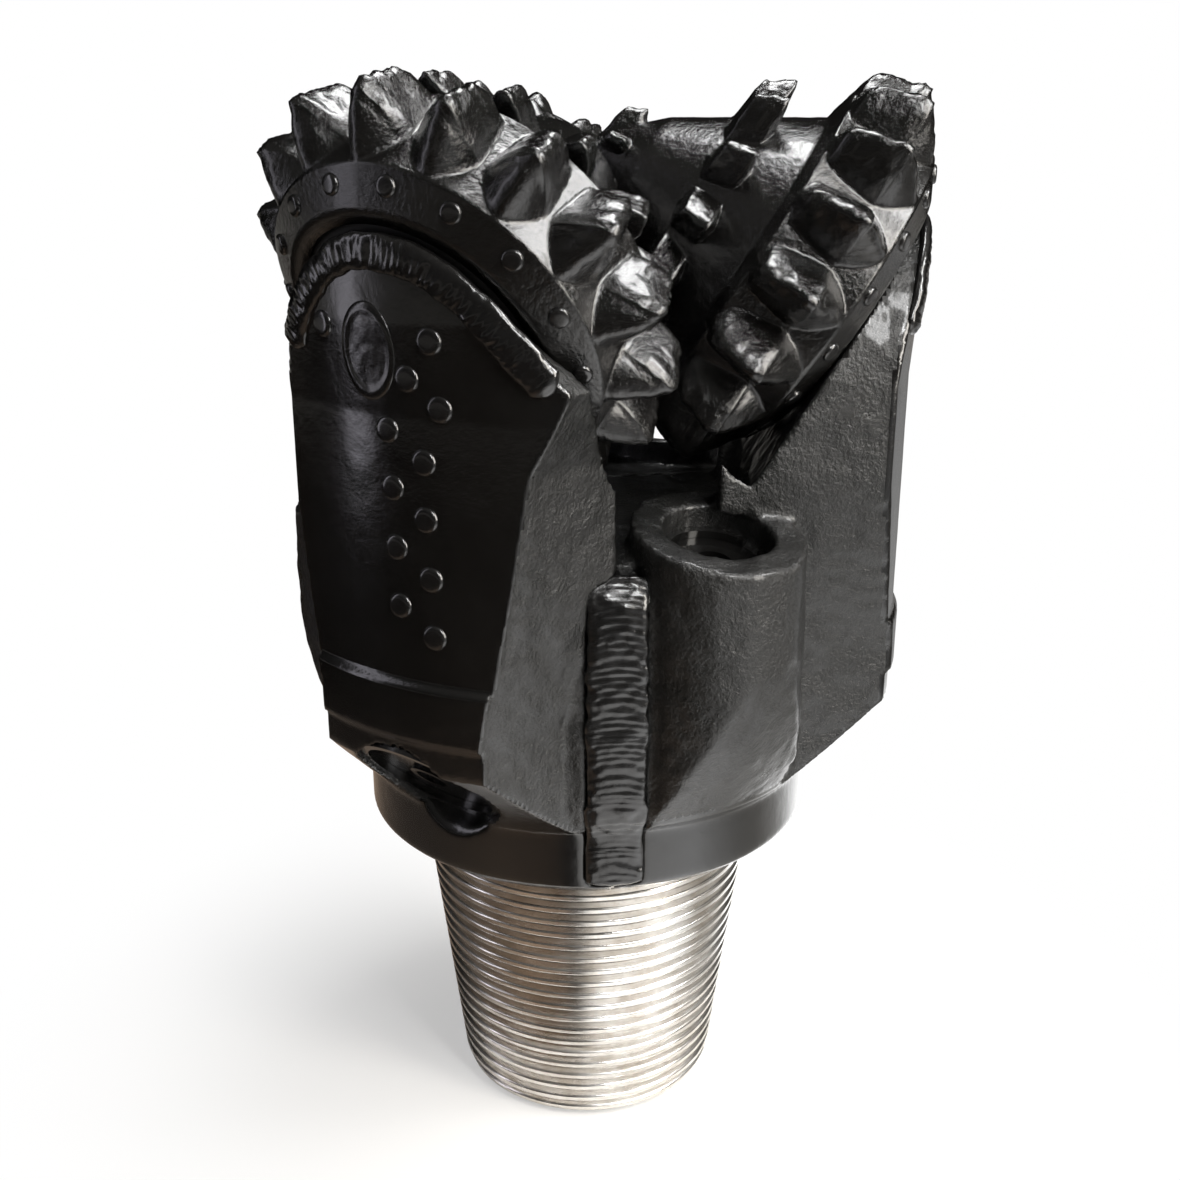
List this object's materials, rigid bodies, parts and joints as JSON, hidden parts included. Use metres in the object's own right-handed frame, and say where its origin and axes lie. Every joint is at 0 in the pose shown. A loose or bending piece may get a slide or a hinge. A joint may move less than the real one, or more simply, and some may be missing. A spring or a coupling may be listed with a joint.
{
  "type": "tricone drill bit",
  "caption": "Rolling-cone rotary drill bit with milled-tooth cones on sealed journals, welded leg sections, jet nozzles, grease reservoirs and a tapered threaded pin.",
  "frame": {"origin": "centre of the watercourse at the pin's end face, which the bit stands on", "axes": "+Z along the bit's axis from the pin end to the cones; +X outward through leg 1"},
  "size_m": [0.2072, 0.2154, 0.3513],
  "materials": {
    "painted_steel": "gloss",
    "machined_steel": "satin",
    "hardfacing": "rough gloss",
    "carbide": "satin",
    "bearing_steel": "polished",
    "bronze": "satin",
    "seal_rubber": "matte"
  },
  "bodies": {
    "bit_body": {"threaded_pin": "machined_steel", "leg_1": "painted_steel", "ball_plug_1": "painted_steel", "seam_weld_1": "painted_steel", "shirttail_hardfacing_1": "hardfacing", "shirttail_inserts_1": "carbide", "reservoir_canister_1": "machined_steel", "reservoir_diaphragm_1": "seal_rubber", "reservoir_cap_1": "painted_steel", "reservoir_snap_ring_1": "painted_steel", "nozzle_1": "carbide", "nozzle_o_ring_1": "seal_rubber", "nozzle_snap_ring_1": "machined_steel", "leg_2": "painted_steel", "ball_plug_2": "painted_steel", "seam_weld_2": "painted_steel", "shirttail_hardfacing_2": "hardfacing", "shirttail_inserts_2": "carbide", "reservoir_canister_2": "machined_steel", "reservoir_diaphragm_2": "seal_rubber", "reservoir_cap_2": "painted_steel", "reservoir_snap_ring_2": "painted_steel", "nozzle_2": "carbide", "nozzle_o_ring_2": "seal_rubber", "nozzle_snap_ring_2": "machined_steel", "leg_3": "painted_steel", "ball_plug_3": "painted_steel", "seam_weld_3": "painted_steel", "shirttail_hardfacing_3": "hardfacing", "shirttail_inserts_3": "carbide", "reservoir_canister_3": "machined_steel", "reservoir_diaphragm_3": "seal_rubber", "reservoir_cap_3": "painted_steel", "reservoir_snap_ring_3": "painted_steel", "nozzle_3": "carbide", "nozzle_o_ring_3": "seal_rubber", "nozzle_snap_ring_3": "machined_steel"},
    "cone_assembly_1": {"cone_1": "painted_steel", "heel_inserts_1": "carbide", "nose_bushing_1": "bronze", "thrust_washer_1": "bronze", "bearing_seal_1": "seal_rubber"},
    "rollers_1": {"roller_set_1": "bearing_steel"},
    "balls_1": {"ball_set_1": "bearing_steel"},
    "cone_assembly_2": {"cone_2": "painted_steel", "heel_inserts_2": "carbide", "nose_bushing_2": "bronze", "thrust_washer_2": "bronze", "bearing_seal_2": "seal_rubber"},
    "rollers_2": {"roller_set_2": "bearing_steel"},
    "balls_2": {"ball_set_2": "bearing_steel"},
    "cone_assembly_3": {"cone_3": "painted_steel", "heel_inserts_3": "carbide", "nose_bushing_3": "bronze", "thrust_washer_3": "bronze", "bearing_seal_3": "seal_rubber"},
    "rollers_3": {"roller_set_3": "bearing_steel"},
    "balls_3": {"ball_set_3": "bearing_steel"}
  },
  "joints": [
    {"name": "cone_spin_1", "type": "hinge", "parent": "bit_body", "child": "cone_assembly_1", "pos_m": [0, 0.002, 0.33335], "axis": [0.8387, 0, -0.5446], "continuous": true},
    {"name": "roller_orbit_1", "type": "hinge", "parent": "bit_body", "child": "rollers_1", "pos_m": [0, 0.002, 0.33335], "axis": [0.8387, 0, -0.5446], "continuous": true},
    {"name": "ball_orbit_1", "type": "hinge", "parent": "bit_body", "child": "balls_1", "pos_m": [0, 0.002, 0.33335], "axis": [0.8387, 0, -0.5446], "continuous": true},
    {"name": "cone_spin_2", "type": "hinge", "parent": "bit_body", "child": "cone_assembly_2", "pos_m": [-0.00173, -0.001, 0.33335], "axis": [-0.4193, 0.7263, -0.5446], "continuous": true},
    {"name": "roller_orbit_2", "type": "hinge", "parent": "bit_body", "child": "rollers_2", "pos_m": [-0.00173, -0.001, 0.33335], "axis": [-0.4193, 0.7263, -0.5446], "continuous": true},
    {"name": "ball_orbit_2", "type": "hinge", "parent": "bit_body", "child": "balls_2", "pos_m": [-0.00173, -0.001, 0.33335], "axis": [-0.4193, 0.7263, -0.5446], "continuous": true},
    {"name": "cone_spin_3", "type": "hinge", "parent": "bit_body", "child": "cone_assembly_3", "pos_m": [0.00173, -0.001, 0.33335], "axis": [-0.4193, -0.7263, -0.5446], "continuous": true},
    {"name": "roller_orbit_3", "type": "hinge", "parent": "bit_body", "child": "rollers_3", "pos_m": [0.00173, -0.001, 0.33335], "axis": [-0.4193, -0.7263, -0.5446], "continuous": true},
    {"name": "ball_orbit_3", "type": "hinge", "parent": "bit_body", "child": "balls_3", "pos_m": [0.00173, -0.001, 0.33335], "axis": [-0.4193, -0.7263, -0.5446], "continuous": true}
  ],
  "couplings": [
    {"joint": "roller_orbit_1", "follows": "cone_spin_1", "ratio": 0.5702},
    {"joint": "ball_orbit_1", "follows": "cone_spin_1", "ratio": 0.62},
    {"joint": "roller_orbit_2", "follows": "cone_spin_2", "ratio": 0.5702},
    {"joint": "ball_orbit_2", "follows": "cone_spin_2", "ratio": 0.62},
    {"joint": "roller_orbit_3", "follows": "cone_spin_3", "ratio": 0.5702},
    {"joint": "ball_orbit_3", "follows": "cone_spin_3", "ratio": 0.62}
  ]
}
